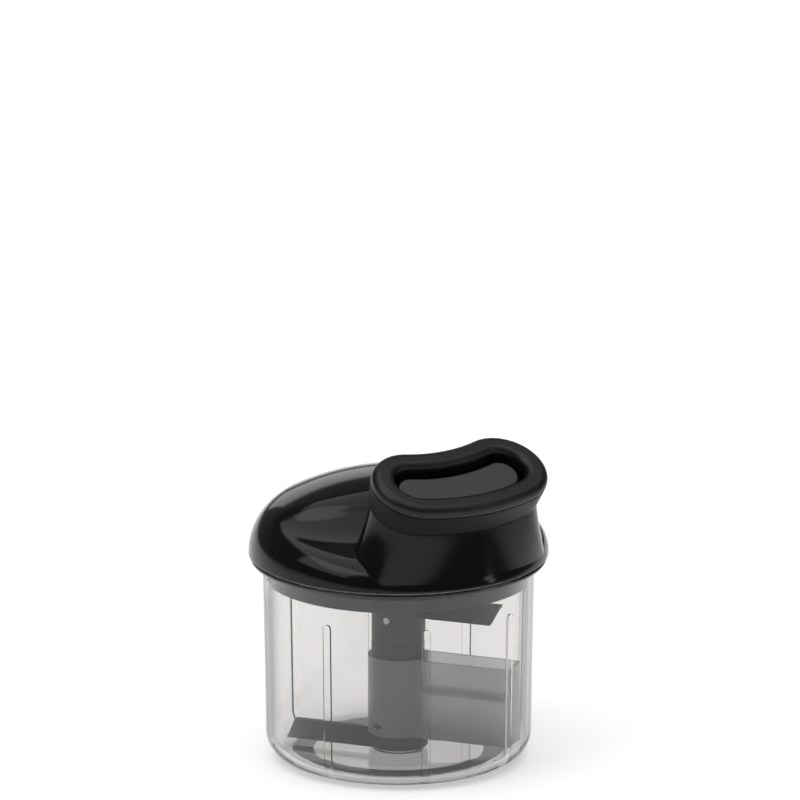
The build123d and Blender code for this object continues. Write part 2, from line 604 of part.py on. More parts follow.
def lid_shell():
    """Gloss outer shell of the lid, with the neck that the handle docks on."""
    recess = DOCK * handle_column(-DOCK_INSET, -DOCK_THICKNESS, DOCK_THICKNESS)
    shell = lid_form(0) - recess - lid_form(LID_WALL)
    middle = lid_form(LID_WALL / 2)
    bosses = []
    for x, y in cover_screw_places():
        boss = cylinder(SCREW_BOSS_R, LID_Z, LID_Z + DOME_HEIGHT, x, y) & middle
        boss += cylinder(SCREW_BOSS_R, COVER_TOP, LID_Z, x, y)
        bosses.append(boss - cylinder(SCREW_R, COVER_Z, COVER_Z + SCREW_LENGTH, x, y))
    for x, y in cup_screw_places():
        boss = cylinder(SCREW_BOSS_R, CUP_TOP, LID_Z + DOME_HEIGHT, x, y) & middle
        bosses.append(boss - cylinder(SCREW_R, CUP_Z, CUP_TOP - CUP_WALL + SCREW_LENGTH, x, y))
    axle_boss = cylinder(2 * AXLE_R, CUP_TOP, LID_Z + DOME_HEIGHT) & middle
    bosses.append(axle_boss - cylinder(AXLE_R, CUP_Z, CUP_TOP + AXLE_SEAT))
    for boss in bosses:
        shell += boss
    return shell


def tilted_column(offset, low, outer_z, inner_z):
    """Column on the handle's plan whose top slopes down from the inner to the outer side."""
    inner_x = -HANDLE_INNER - offset
    outer_x = HANDLE_OUTER + offset
    fall = (inner_z - outer_z) / (outer_x - inner_x)
    far_z = outer_z - (FAR - outer_x) * fall
    near_z = inner_z + (FAR + inner_x) * fall
    above = make_face(Polyline((-FAR, near_z), (FAR, far_z), (FAR, FAR), (-FAR, FAR), close=True))
    top = extrude(Plane(origin=(0, FAR / 2, 0), x_dir=(1, 0, 0), z_dir=(0, -1, 0)) * above, FAR)
    return handle_column(offset, low, FAR / 2) - top


def round_top(solid, radius):
    """Round the edges of a column's sloping top face."""
    top = solid.faces().filter_by(GeomType.PLANE).sort_by(Axis.Z)[-1]
    return fillet(top.edges(), radius)


def dock_plate():
    """Plate that closes the neck, with the sloping island that the handle's ring sits round."""
    inset = RING_WIDTH + DOCK_GAP
    island = round_top(tilted_column(-inset, -DOCK_THICKNESS, DOCK_OUTER_RISE, DOCK_INNER_RISE), DOCK_ROUND)
    hollow = tilted_column(-inset - DOCK_WALL, -DOCK_THICKNESS, DOCK_OUTER_RISE - DOCK_WALL,
                           DOCK_INNER_RISE - DOCK_WALL)
    plate = handle_column(-DOCK_INSET - FIT_GAP, -DOCK_THICKNESS, 0) + island
    return DOCK * (plate - hollow - cylinder(EYELET_R, -DOCK_THICKNESS, 0, CORD_X))


def cord_eyelet():
    """Wear ring that the cord leaves the lid through."""
    lip_low = -DOCK_THICKNESS - EYELET_LIP_HEIGHT
    ring = cylinder(EYELET_R, -DOCK_THICKNESS, 0, CORD_X)
    ring += cylinder(EYELET_R + EYELET_LIP, lip_low, -DOCK_THICKNESS, CORD_X)
    return DOCK * (ring - cylinder(CORD_R + CORD_GAP, lip_low, 0, CORD_X))


def cord_knee():
    """Point just under the eyelet where the cord turns from upright to square with the dock."""
    return (DOCK * Pos(CORD_X, 0, -CORD_KNEE_DROP)).position


def cord_path():
    """Line of the cord: round the drum, across to the guide, up through the eyelet to the handle."""
    knee = cord_knee()
    corner = Vector(knee.X, 0, CORD_Z)
    swing = degrees(acos(CORD_COIL_R / corner.X))
    coil = CenterArc((0, 0, CORD_Z), CORD_COIL_R, -swing - CORD_WRAP, CORD_WRAP)
    top = (DOCK * Pos(CORD_X, 0, ANCHOR_RECESS + ANCHOR_HEIGHT)).position
    climb = FilletPolyline(coil @ 1, corner, knee, top, radius=CORD_BEND_R)
    return Wire([coil, *climb.edges()])


def swept_cord(radius):
    """Round bar along the cord's line."""
    path = cord_path()
    return sweep(Plane(origin=path @ 0, z_dir=path % 0) * Circle(radius), path)


def pull_cord():
    """Cord from the drum to the handle, at rest."""
    return swept_cord(CORD_R)


def cord_guide():
    """Post on the inner cover with the polished bend that turns the cord upwards."""
    middle = cord_knee().X
    post = slab(middle - GUIDE_SIZE_X / 2, middle + GUIDE_SIZE_X / 2, GUIDE_SIZE_Y, COVER_TOP,
                CORD_Z + GUIDE_CHEEK)
    return post - swept_cord(CORD_R + CORD_GAP)


def cover_slot():
    """L-shaped bayonet slot for one lug, made along +X with its leg to +Y."""
    half_angle = degrees((LUG_WIDTH / 2 + SLOT_CLEARANCE) / SKIRT_R)
    low = LUG_Z - LUG_HEIGHT / 2 - SLOT_CLEARANCE
    high = LUG_Z + LUG_HEIGHT / 2 + SLOT_CLEARANCE
    depth = SKIRT_R - SLOT_DEPTH

    def sector(start, span, bottom, top):
        """Sector of the band that the slot is cut from."""
        arc = CenterArc((0, 0), FAR, start, span)
        plan = make_face([Line((0, 0), arc @ 0), arc, Line(arc @ 1, (0, 0))])
        return extrude(Pos(0, 0, bottom) * plan, top - bottom)

    entry = sector(-half_angle, 2 * half_angle, SKIRT_Z, high)
    leg = sector(-half_angle, 2 * half_angle + TWIST_ANGLE, low, high)
    band = tube(SKIRT_R + SLOT_DEPTH, depth, SKIRT_Z, high)
    return (entry + leg) & band


def lid_base():
    """Inner cover of the lid: skirt with bayonet slots, plate and the boss for the hub's bush."""
    inner_r = SKIRT_R - SKIRT_WALL
    flange_r = LID_R - LID_WALL - FIT_GAP
    cover = tube(SKIRT_R, inner_r, SKIRT_Z, LID_Z)
    cover += tube(flange_r, inner_r, LID_Z, LID_Z + COVER_FLANGE_THICKNESS)
    cover += cylinder(inner_r, COVER_Z, COVER_TOP)
    cover += cylinder(BUSH_SEAT_R + COVER_BOSS_WALL, COVER_Z, COVER_BOSS_TOP)
    cover -= cylinder(BUSH_SEAT_R, COVER_Z, COVER_BOSS_TOP)
    for x, y in cover_screw_places():
        cover -= cylinder(SCREW_R, COVER_Z, COVER_TOP, x, y)
    for index in range(LUG_COUNT):
        cover -= at_angle(cover_slot(), index * 360 / LUG_COUNT - FEATURE_ANGLE)
    return cover


def lid_seal():
    """Flat soft ring between the rim of the bowl and the lid."""
    return tube(SEAL_OUTER_R, SEAL_INNER_R, BOWL_HEIGHT, LID_Z)


def screws(places, head_low, shank_r, head_r, length):
    """Pan-head screws, point upwards, whose heads start at one height."""
    seat = head_low + SCREW_HEAD_HEIGHT
    group = []
    for x, y in places:
        screw = cylinder(head_r, head_low, seat, x, y) + cylinder(shank_r, seat, seat + length, x, y)
        group.append(screw - cylinder(SCREW_RECESS_R, head_low, head_low + SCREW_RECESS_DEPTH, x, y))
    return Compound(group)


def cover_screws():
    """Screws that hold the inner cover to the lid shell."""
    return screws(cover_screw_places(), COVER_Z - SCREW_HEAD_HEIGHT, SCREW_R, SCREW_HEAD_R, SCREW_LENGTH)


def cup_screws():
    """Screws that hold the spring cup to the lid shell."""
    head_low = CUP_TOP - CUP_WALL - SCREW_HEAD_HEIGHT
    return screws(cup_screw_places(), head_low, SCREW_R, SCREW_HEAD_R, SCREW_LENGTH)


def hub_bush():
    """Plain bearing of the drive hub, pressed into the inner cover."""
    bush = cylinder(BUSH_SEAT_R, COVER_Z, COVER_BOSS_TOP)
    bush += cylinder(BUSH_SEAT_R + HUB_BUSH_LIP, COVER_Z - HUB_BUSH_LIP_HEIGHT, COVER_Z)
    return bush - cylinder(JOURNAL_R + RUNNING_GAP, COVER_Z - HUB_BUSH_LIP_HEIGHT, COVER_BOSS_TOP)


def drive_hub():
    """Shaft that takes the blade unit's hexagon in its nose and the clutch on its upper end."""
    nose_low = HEAD_TOP + COLLAR_HEIGHT + HUB_NOSE_GAP
    nose_top = COVER_Z - HUB_BUSH_LIP_HEIGHT - REST_GAP
    hub = cylinder(HUB_NOSE_R, nose_low, nose_top)
    hub += cylinder(JOURNAL_R, nose_top, JOURNAL_TOP)
    hub += cylinder(HUB_STUB_R, JOURNAL_TOP, JOURNAL_TOP + HUB_STUB_LENGTH)
    hub -= hub_clip()
    hexagon = RegularPolygon(HEX_FLATS / 2 + HEX_SOCKET_GAP, 6, major_radius=False)
    return hub - extrude(Pos(0, 0, nose_low) * hexagon, HEX_TOP + REST_GAP - nose_low)


def hub_clip():
    """Spring clip in the hub's groove that keeps the hub in its bush."""
    ring = tube(CLIP_R, JOURNAL_R - CLIP_GROOVE_DEPTH, CLIP_Z, CLIP_Z + CLIP_THICKNESS)
    return ring - slab(JOURNAL_R, FAR, CLIP_R, CLIP_Z, CLIP_Z + CLIP_THICKNESS)


def one_way_clutch():
    """Clutch sleeve that lets the drum run back freely on the hub."""
    return tube(CLUTCH_R, HUB_STUB_R + RUNNING_GAP, DRUM_Z, CLUTCH_TOP)


def cord_drum():
    """Drum that the cord winds on, with the arbor of the recoil spring on top."""
    drum = cylinder(DRUM_CORE_R, DRUM_Z, DRUM_TOP)
    drum += cylinder(DRUM_FLANGE_R, DRUM_Z, DRUM_Z + DRUM_FLANGE_THICKNESS)
    drum += cylinder(DRUM_FLANGE_R, DRUM_TOP - DRUM_FLANGE_THICKNESS, DRUM_TOP)
    drum += cylinder(ARBOR_R, DRUM_TOP, CUP_TOP - CUP_WALL - SPRING_EDGE_GAP)
    drum -= cylinder(CLUTCH_R, DRUM_Z, CLUTCH_TOP)
    return drum - cylinder(AXLE_R + RUNNING_GAP, CLUTCH_TOP + DRUM_WEB, CUP_TOP)


def cord_winding():
    """The cord's put-away length on the drum, as one closed ring."""
    return tube(WINDING_R, DRUM_CORE_R, DRUM_Z + DRUM_FLANGE_THICKNESS, DRUM_TOP - DRUM_FLANGE_THICKNESS)


def drum_axle():
    """Steel pin, fixed in the lid shell, that centres the drum."""
    return cylinder(AXLE_R, CLUTCH_TOP + DRUM_WEB + REST_GAP, CUP_TOP + AXLE_SEAT)


def spring_cup():
    """Cup with three ears that houses the recoil spring."""
    cup = cylinder(CUP_R, CUP_Z, CUP_TOP)
    for x, y in cup_screw_places():
        ear = cylinder(EAR_R, CUP_TOP - CUP_WALL, CUP_TOP, x, y)
        cup += ear - cylinder(SCREW_R, CUP_Z, CUP_TOP, x, y)
    cup -= cylinder(CUP_R - CUP_WALL, CUP_Z, CUP_TOP - CUP_WALL)
    return cup - cylinder(AXLE_R, CUP_Z, CUP_TOP)


def recoil_spring():
    """Flat spiral spring from the arbor to the cup, as half turns about two centres."""
    low = CUP_Z + SPRING_EDGE_GAP
    high = CUP_TOP - CUP_WALL - SPRING_EDGE_GAP
    start = ARBOR_R + REST_GAP
    step = (CUP_R - CUP_WALL - REST_GAP - SPRING_THICKNESS - start) / (2 * SPRING_TURNS)
    ribbon = None
    for index in range(2 * SPRING_TURNS):
        side = index % 2
        radius = start + step / 2 + index * step
        turn = tube(radius + SPRING_THICKNESS, radius, low, high)
        half = Pos(0, FAR / 2 * (1 - 2 * side), low) * Box(FAR, FAR, 2 * (high - low))
        coil = Pos(step / 2 * (1 - 2 * side), 0, 0) * (turn & half)
        ribbon = coil if ribbon is None else ribbon + coil
    return ribbon


def handle_screw_places():
    """Positions on the dock of the screws that join the handle's two halves, round its lobes."""
    reach = LOBE_R - HANDLE_SCREW_INSET
    places = []
    for side in (-1, 1):
        for angle in HANDLE_SCREW_ANGLES:
            x = reach * cos(radians(angle))
            places.append((x, side * (LOBE_Y + reach * sin(radians(angle)))))
    return places


def handle_screws():
    """Screws that join the handle's shell to its grip."""
    return DOCK * screws(handle_screw_places(), REST_GAP, HANDLE_SCREW_R, HANDLE_SCREW_HEAD_R,
                         HANDLE_SCREW_LENGTH)


def handle_shell():
    """Hard lower half of the pull handle, drafted in to the neck, with the ferrule's pocket."""
    body = loft([handle_plan(-HANDLE_DRAFT), Pos(0, 0, GRIP_LOW) * handle_plan()])
    rim = body.edges().group_by(Axis.Z)[-1]
    body = fillet(rim, HANDLE_PARTING_ROUND)
    body -= handle_column(-RING_WIDTH, 0, GRIP_LOW)
    body -= cylinder(CORD_R + CORD_GAP, 0, ANCHOR_RECESS, CORD_X)
    body -= cylinder(ANCHOR_R, ANCHOR_RECESS, GRIP_LOW, CORD_X)
    for x, y in handle_screw_places():
        body -= cylinder(HANDLE_SCREW_HEAD_R, 0, REST_GAP + SCREW_HEAD_HEIGHT, x, y)
        body -= cylinder(HANDLE_SCREW_R, 0, GRIP_LOW, x, y)
    return DOCK * body


def handle_grip():
    """Soft upper ring of the pull handle, higher on its inner side."""
    ring = tilted_column(0, GRIP_LOW, GRIP_LOW + GRIP_OUTER_HEIGHT, GRIP_LOW + GRIP_INNER_HEIGHT)
    ring = round_top(ring, GRIP_OUTER_ROUND)
    rim = ring.edges().group_by(Axis.Z)[0]
    ring = fillet(rim, HANDLE_PARTING_ROUND)
    ring -= handle_column(-RING_WIDTH, GRIP_LOW, FAR)
    top = ring.faces().filter_by(GeomType.PLANE).sort_by(Axis.Z)[-1]
    ring = fillet(top.inner_wires()[0].edges(), GRIP_INNER_ROUND)
    seat = REST_GAP + SCREW_HEAD_HEIGHT
    for x, y in handle_screw_places():
        ring -= cylinder(HANDLE_SCREW_R, seat, seat + HANDLE_SCREW_LENGTH, x, y)
    return DOCK * ring


def cord_anchor():
    """Ferrule crimped on the end of the cord, held in the handle's shell."""
    return DOCK * tube(ANCHOR_R, CORD_R + CORD_GAP, ANCHOR_RECESS, ANCHOR_RECESS + ANCHOR_HEIGHT, CORD_X)


PIECES = {
    "bowl": bowl,
    "non_slip_ring": non_slip_ring,
    "pin_bush": pin_bush,
    "spindle_sleeve": spindle_sleeve,
    "spindle_head": spindle_head,
    "index_dot": index_dot,
    "lower_blade": lambda: blade(LOWER_BLADE_HEIGHT),
    "upper_blade": lambda: blade(UPPER_BLADE_HEIGHT),
    "blade_guard": blade_guard,
    "scraper_ring": scraper_ring,
    "lid_seal": lid_seal,
    "lid_shell": lid_shell,
    "lid_base": lid_base,
    "cover_screws": cover_screws,
    "dock_plate": dock_plate,
    "cord_eyelet": cord_eyelet,
    "cord_guide": cord_guide,
    "pull_cord": pull_cord,
    "hub_bush": hub_bush,
    "drive_hub": drive_hub,
    "hub_clip": hub_clip,
    "one_way_clutch": one_way_clutch,
    "cord_drum": cord_drum,
    "cord_winding": cord_winding,
    "drum_axle": drum_axle,
    "spring_cup": spring_cup,
    "cup_screws": cup_screws,
    "recoil_spring": recoil_spring,
    "handle_shell": handle_shell,
    "handle_grip": handle_grip,
    "handle_screws": handle_screws,
    "cord_anchor": cord_anchor,
}

os.makedirs("parts", exist_ok=True)
for node, make in PIECES.items():
    export_step(make(), f"parts/{node}.step")
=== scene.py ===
"""Looks of the pull-cord food chopper: its finishes, its braided cord, and the studio it stands in.

Lengths are in metres, in the CAD's own frame.
"""
import logging
from dataclasses import dataclass, field
from enum import Enum
from math import acos, atan2, cos, pi, radians, sin
from typing import Mapping, Union

import bmesh
import bpy
from mathutils import Matrix, Vector


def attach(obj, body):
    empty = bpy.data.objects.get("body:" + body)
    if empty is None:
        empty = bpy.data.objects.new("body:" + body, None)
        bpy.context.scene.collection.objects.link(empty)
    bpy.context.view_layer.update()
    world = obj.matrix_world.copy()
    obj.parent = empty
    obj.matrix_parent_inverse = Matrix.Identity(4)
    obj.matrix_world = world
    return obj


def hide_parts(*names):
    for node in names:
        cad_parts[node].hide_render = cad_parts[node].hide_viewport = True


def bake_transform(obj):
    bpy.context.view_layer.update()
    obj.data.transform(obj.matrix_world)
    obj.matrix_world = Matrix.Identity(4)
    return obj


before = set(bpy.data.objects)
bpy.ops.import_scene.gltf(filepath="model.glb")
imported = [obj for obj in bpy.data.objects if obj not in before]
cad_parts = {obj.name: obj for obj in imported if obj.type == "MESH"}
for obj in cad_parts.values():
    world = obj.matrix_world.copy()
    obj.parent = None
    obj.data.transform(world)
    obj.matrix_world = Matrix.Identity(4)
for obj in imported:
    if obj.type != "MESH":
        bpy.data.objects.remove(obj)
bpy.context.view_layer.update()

LOG = logging.getLogger("chopper")

Colour = tuple[float, float, float, float]
Band = tuple[float, float]
Feed = Union[float, tuple, "Wire"]

DRIFT_BAND: Band = (0.3, 0.7)    # part of a noise that a colour's drift spreads over
EDGE_BAND: Band = (0.01, 0.12)   # how far a rounded edge leaves its face, from no wear to full wear
EDGE_SAMPLES = 6                 # rays that find a rounded edge
RUBBED_TONE = 2.4                # colour of a rubbed edge, as a share of the finish's own
RUBBED_GLOSS = 0.12              # what rubbing takes off an edge's roughness
CORD_R = 0.0012                  # radius of the cord, on the drum and off it

# A Mix node's sockets for colours, by number, because its other types have the same names.
MIX_SHARE = 0
MIX_LOW = 6
MIX_HIGH = 7
MIX_COLOUR = 2


class Detail(Enum):
    """How much fine detail a noise has, in octaves."""

    SMOOTH = 1.0
    PLAIN = 2.0
    FINE = 3.0
    MIXED = 4.0
    RICH = 5.0


class Side(Enum):
    """Where a light stands, in degrees to the right of the camera."""

    LEFT = -62.0
    RIGHT = 74.0
    BACK = 176.0
    FRONT = -14.0


def grey(level: float, warmth: float = 0.0) -> Colour:
    """Grey of a given level; warmth above 0 leans to red and below 0 to blue."""
    return (level * (1 + warmth), level, level * (1 - warmth), 1.0)


def shade(colour: Colour, share: float) -> Colour:
    """A colour made lighter or darker by a share of itself."""
    return tuple(min(part * share, 1.0) for part in colour[:3]) + (1.0,)


class Wire:
    """An output of a finish's nodes, with arithmetic that adds Math nodes."""

    def __init__(self, bench: "Bench", socket: bpy.types.NodeSocket) -> None:
        """Keep the socket and the bench that its nodes are made on."""
        self.bench = bench
        self.socket = socket

    def _math(self, operation: str, left: Feed, right: Feed = 0.0) -> "Wire":
        """Add one Math node.

        Args:
            operation: the node's operation.
            left: its first value.
            right: its second value.

        Returns:
            The node's output.
        """
        return self.bench.add("ShaderNodeMath", {"operation": operation}, {0: left, 1: right})

    def __add__(self, other: Feed) -> "Wire":
        """Sum with a value."""
        return self._math("ADD", self, other)

    __radd__ = __add__

    def __sub__(self, other: Feed) -> "Wire":
        """This less a value."""
        return self._math("SUBTRACT", self, other)

    def __rsub__(self, other: Feed) -> "Wire":
        """A value less this."""
        return self._math("SUBTRACT", other, self)

    def __mul__(self, other: Feed) -> "Wire":
        """Product with a value."""
        return self._math("MULTIPLY", self, other)

    __rmul__ = __mul__

    def __abs__(self) -> "Wire":
        """Size without sign."""
        return self._math("ABSOLUTE", self)

    def sine(self) -> "Wire":
        """Sine of this."""
        return self._math("SINE", self)

    def most(self, other: Feed) -> "Wire":
        """The larger of this and a value."""
        return self._math("MAXIMUM", self, other)

    def swing(self, reach: float) -> "Wire":
        """This, from 0 to 1, as a swing from a reach below 0 to a reach above it."""
        return (self - 0.5) * (2 * reach)

    def band(self, low: float, high: float) -> "Wire":
        """Smooth step from 0 at low to 1 at high."""
        return self.bench.add("ShaderNodeMapRange", {"interpolation_type": "SMOOTHSTEP"},
                              {"Value": self, "From Min": low, "From Max": high})


class Bench:
    """Node tree of one material, with every node made by one method."""

    def __init__(self, name: str) -> None:
        """Start an empty material.

        Args:
            name: the material's name.
        """
        self.material = bpy.data.materials.new(name)
        self.material.use_nodes = True
        self.tree = self.material.node_tree
        self.tree.nodes.clear()

    def add(self, kind: str, settings: Mapping[str, object] | None = None,
            feeds: Mapping[str | int, Feed] | None = None, out: str | int = 0) -> Wire:
        """Add a node.

        Args:
            kind: the node's type.
            settings: its properties, set before its inputs.
            feeds: values or wires for its inputs.
            out: which output to hand back.

        Returns:
            The chosen output, or the first input of a node that has none.
        """
        node = self.tree.nodes.new(kind)
        for key, value in (settings or {}).items():
            setattr(node, key, value)
        for key, value in (feeds or {}).items():
            if isinstance(value, Wire):
                self.tree.links.new(value.socket, node.inputs[key])
            else:
                node.inputs[key].default_value = value
        return Wire(self, node.outputs[out] if node.outputs else node.inputs[0])

    def place(self, stretch: tuple[float, float, float] = (1.0, 1.0, 1.0), turn: float = 0.0) -> Wire:
        """Object coordinates, turned about the upright axis and then stretched.

        Args:
            stretch: what each axis is multiplied by.
            turn: the turn, in radians.

        Returns:
            The place on the pattern.
        """
        spot = self.add("ShaderNodeTexCoord", out="Object")
        turned = self.add("ShaderNodeMapping", {}, {"Vector": spot, "Rotation": (0.0, 0.0, turn)})
        return self.add("ShaderNodeVectorMath", {"operation": "MULTIPLY"}, {0: turned, 1: stretch})

    def noise(self, size: float, detail: Detail = Detail.PLAIN, place: Wire | None = None) -> Wire:
        """Noise with features of a size in metres."""
        return self.add("ShaderNodeTexNoise", {},
                        {"Vector": place or self.place(), "Scale": 1 / size, "Detail": detail.value})

    def part(self, vector: Wire, axis: str) -> Wire:
        """One part of a vector."""
        return self.add("ShaderNodeSeparateXYZ", {}, {0: vector}, axis)

    def blend(self, share: Feed, low: Feed, high: Feed) -> Wire:
        """Colour between two colours."""
        return self.add("ShaderNodeMix", {"data_type": "RGBA"},
                        {MIX_SHARE: share, MIX_LOW: low, MIX_HIGH: high}, MIX_COLOUR)

    def bump(self, height: Wire, depth: float, normal: Wire | None = None) -> Wire:
        """Normal of a relief.

        Args:
            height: the relief, in shares of its depth.
            depth: that depth.
            normal: the normal that it stands on, if not the mesh's own.

        Returns:
            The normal.
        """
        feeds: dict[str | int, Feed] = {"Height": height, "Strength": 1.0, "Distance": depth}
        if normal:
            feeds["Normal"] = normal
        return self.add("ShaderNodeBump", {}, feeds)

    def worn_edge(self, rounded: Wire) -> Wire:
        """Mask of the rounded edges.

        Args:
            rounded: the normal with its edges rounded.

        Returns:
            1 on the rounded edges, 0 on the open faces.
        """
        flat = self.add("ShaderNodeNewGeometry", out="Normal")
        along = self.add("ShaderNodeVectorMath", {"operation": "DOT_PRODUCT"},
                         {0: rounded, 1: flat}, "Value")
        return (1.0 - along).band(*EDGE_BAND)

    def surface(self, feeds: Mapping[str | int, Feed], painted_layer: Mapping[str | int, Feed] | None = None,
                share: Feed = 0.0) -> bpy.types.Material:
        """Close the tree with a Principled surface, and a second one over it that paints shade if given.

        Args:
            feeds: the surface's inputs.
            painted_layer: inputs of a second surface over it, which paints shade.
            share: where the second surface covers the first.

        Returns:
            The finished material.
        """
        body = self.add("ShaderNodeBsdfPrincipled", {}, feeds)
        if painted_layer:
            # The second surface paints shade over the first where the share covers it.
            painted_surface = self.add("ShaderNodeBsdfPrincipled", {}, painted_layer)
            body = self.add("ShaderNodeMixShader", {}, {0: share, 1: body, 2: painted_surface})
        self.add("ShaderNodeOutputMaterial", {}, {"Surface": body})
        return self.material


@dataclass(frozen=True)
class Finish:
    """A moulded finish.

    Attributes:
        name: the material's name.
        colour: its colour.
        roughness: its roughness.
        mottle: how far the colour drifts, as a share of it.
        mottle_size: size of that drift.
        haze: how far handling moves the roughness.
        haze_size: size of the hazy patches.
        grain: size of the mould's grain.
        grain_depth: depth of the relief.
        edge: radius that the edges are softened to, or 0.
        wear: how much the edges are rubbed, from 0 to 1.
        shader: further inputs of the surface, the same all over.
    """

    name: str
    colour: Colour
    roughness: float
    mottle: float = 0.12
    mottle_size: float = 0.018
    haze: float = 0.04
    haze_size: float = 0.009
    grain: float = 0.00045
    grain_depth: float = 0.000012
    edge: float = 0.0
    wear: float = 0.0
    shader: Mapping[str, Feed] = field(default_factory=dict)

    def tint(self, bench: Bench) -> Wire:
        """Colour with its slow drift.

        Args:
            bench: the material's nodes.

        Returns:
            The colour.
        """
        drift = bench.noise(self.mottle_size, Detail.MIXED).band(*DRIFT_BAND)
        dark, light = shade(self.colour, 1 - self.mottle), shade(self.colour, 1 + self.mottle)
        return bench.blend(drift, dark, light)

    def gloss(self, bench: Bench) -> Wire:
        """Roughness with handling haze."""
        return self.roughness + bench.noise(self.haze_size, Detail.RICH).swing(self.haze)

    def relief(self, bench: Bench) -> Wire:
        """Fine grain of the mould."""
        return bench.noise(self.grain, Detail.FINE)

    def make(self) -> bpy.types.Material:
        """Build the material.

        Returns:
            The finished material.
        """
        bench = Bench(self.name)
        rounded, tint, gloss = None, self.tint(bench), self.gloss(bench)
        if self.edge:
            rounded = bench.add("ShaderNodeBevel", {"samples": EDGE_SAMPLES}, {"Radius": self.edge})
            rub = bench.worn_edge(rounded) * self.wear
            tint = bench.blend(rub, tint, shade(self.colour, RUBBED_TONE))
            gloss = gloss - rub * RUBBED_GLOSS
        return bench.surface({"Base Color": tint, "Roughness": gloss,
                              "Normal": bench.bump(self.relief(bench), self.grain_depth, rounded),
                              **self.shader})


@dataclass(frozen=True)
class Brushed(Finish):
    """Metal with fine lines along one direction.

    Attributes:
        turn: direction of the lines about the upright axis, in radians.
        line: width of a line.
        squeeze: how little the lines change along their direction.
    """

    turn: float = 0.0
    line: float = 0.00022
    squeeze: float = 0.02

    def strokes(self, bench: Bench) -> Wire:
        """Lines drawn out along the stroke."""
        return bench.noise(self.line, Detail.FINE, bench.place((self.squeeze, 1.0, 1.0), self.turn))

    def gloss(self, bench: Bench) -> Wire:
        """Roughness that follows the lines."""
        return self.roughness + self.strokes(bench).swing(self.haze)

    def relief(self, bench: Bench) -> Wire:
        """Height of the lines."""
        return self.strokes(bench)


@dataclass(frozen=True)
class Turned(Finish):
    """Metal turned on a lathe, with rings about the upright axis.

    Attributes:
        pitch: height from ring to ring.
        ring: height of the rings against the grain's.
    """

    pitch: float = 0.0004
    ring: float = 0.5

    def relief(self, bench: Bench) -> Wire:
        """Tool rings, by height."""
        height = bench.part(bench.place(), "Z")
        return (height * (2 * pi / self.pitch)).sine() * self.ring + bench.noise(self.grain)


@dataclass(frozen=True)
class Clear(Finish):
    """Clear smoky moulding with faint flow waves, fine rub marks, and painted shade on its edges and
    rim.

    Attributes:
        wave: size of the flow waves.
        scuff: what a rub mark adds to the roughness.
        scuff_size: width of a mark.
        scuff_squeeze: how little a mark changes along its height.
        scuff_band: part of a noise that makes the marks.
        patch_size: size of the patches that hold marks.
        patch_band: part of a noise that makes the patches.
        rim_r: radius of the rim's outer edge.
        rim_edge: width of the line of painted shade on the rim.
        rim_fade: share of that width where the line is at its darkest.
        painted_edge_tone: colour of the painted shade on the edges.
        painted_edge_gloss: roughness of that painted shade.
        painted_edge_cover: how much of what is behind it the painted shade hides.
        slant_blend: how soon a face counts as seen along it.
        slant_band: part of that slant over which the painted shade comes in.
        level_band: part of the way from upright to level over which the painted shade fades out.
    """

    wave: float = 0.02
    scuff: float = 0.03
    scuff_size: float = 0.0006
    scuff_squeeze: float = 0.08
    scuff_band: Band = (0.62, 0.8)
    patch_size: float = 0.03
    patch_band: Band = (0.45, 0.75)
    rim_r: float = 0.0
    rim_edge: float = 0.0014
    rim_fade: float = 1 / 3
    painted_edge_tone: Colour = (0.016, 0.014, 0.024, 1.0)
    painted_edge_gloss: float = 0.12
    painted_edge_cover: float = 0.92
    slant_blend: float = 0.4
    slant_band: Band = (0.45, 0.9)
    level_band: Band = (0.25, 0.8)

    def painted_edge_shade(self, bench: Bench, slant: Wire) -> Wire:
        """Share of painted shade, on upright faces seen along them and on the rim.

        Args:
            bench: the material's nodes.
            slant: 0 on a face seen square on, 1 on one seen along it.

        Returns:
            The share, from 0 to 1.
        """
        flat = bench.add("ShaderNodeNewGeometry", out="Normal")
        upright = 1.0 - abs(bench.part(flat, "Z")).band(*self.level_band)
        reach = bench.add("ShaderNodeVectorMath", {"operation": "LENGTH"},
                          {0: bench.place((1.0, 1.0, 0.0))}, "Value")
        rim = reach.band(self.rim_r - self.rim_edge, self.rim_r - self.rim_edge * self.rim_fade)
        return (slant.band(*self.slant_band) * upright).most(rim) * self.painted_edge_cover

    def make(self) -> bpy.types.Material:
        """Build the material, with painted shade on its edges.

        Returns:
            The finished material.
        """
        bench = Bench(self.name)
        slant = bench.add("ShaderNodeLayerWeight", {}, {"Blend": self.slant_blend}, "Facing")
        return bench.surface({"Base Color": self.tint(bench), "Roughness": self.gloss(bench),
                              "Normal": bench.bump(self.relief(bench), self.grain_depth), **self.shader},
                             # A dark second surface over the glass paints shade on edges seen along them
                             # and on the rim.
                             {"Base Color": self.painted_edge_tone, "Roughness": self.painted_edge_gloss},
                             self.painted_edge_shade(bench, slant))

    def gloss(self, bench: Bench) -> Wire:
        """Roughness: clear, with fine rub marks.

        Args:
            bench: the material's nodes.

        Returns:
            The roughness.
        """
        drawn = bench.place((1.0, 1.0, self.scuff_squeeze))
        marks = bench.noise(self.scuff_size, Detail.MIXED, drawn).band(*self.scuff_band)
        patch = bench.noise(self.patch_size).band(*self.patch_band)
        return self.roughness + marks * patch * self.scuff

    def relief(self, bench: Bench) -> Wire:
        """Slow flow waves of the moulding."""
        return bench.noise(self.wave, Detail.SMOOTH)


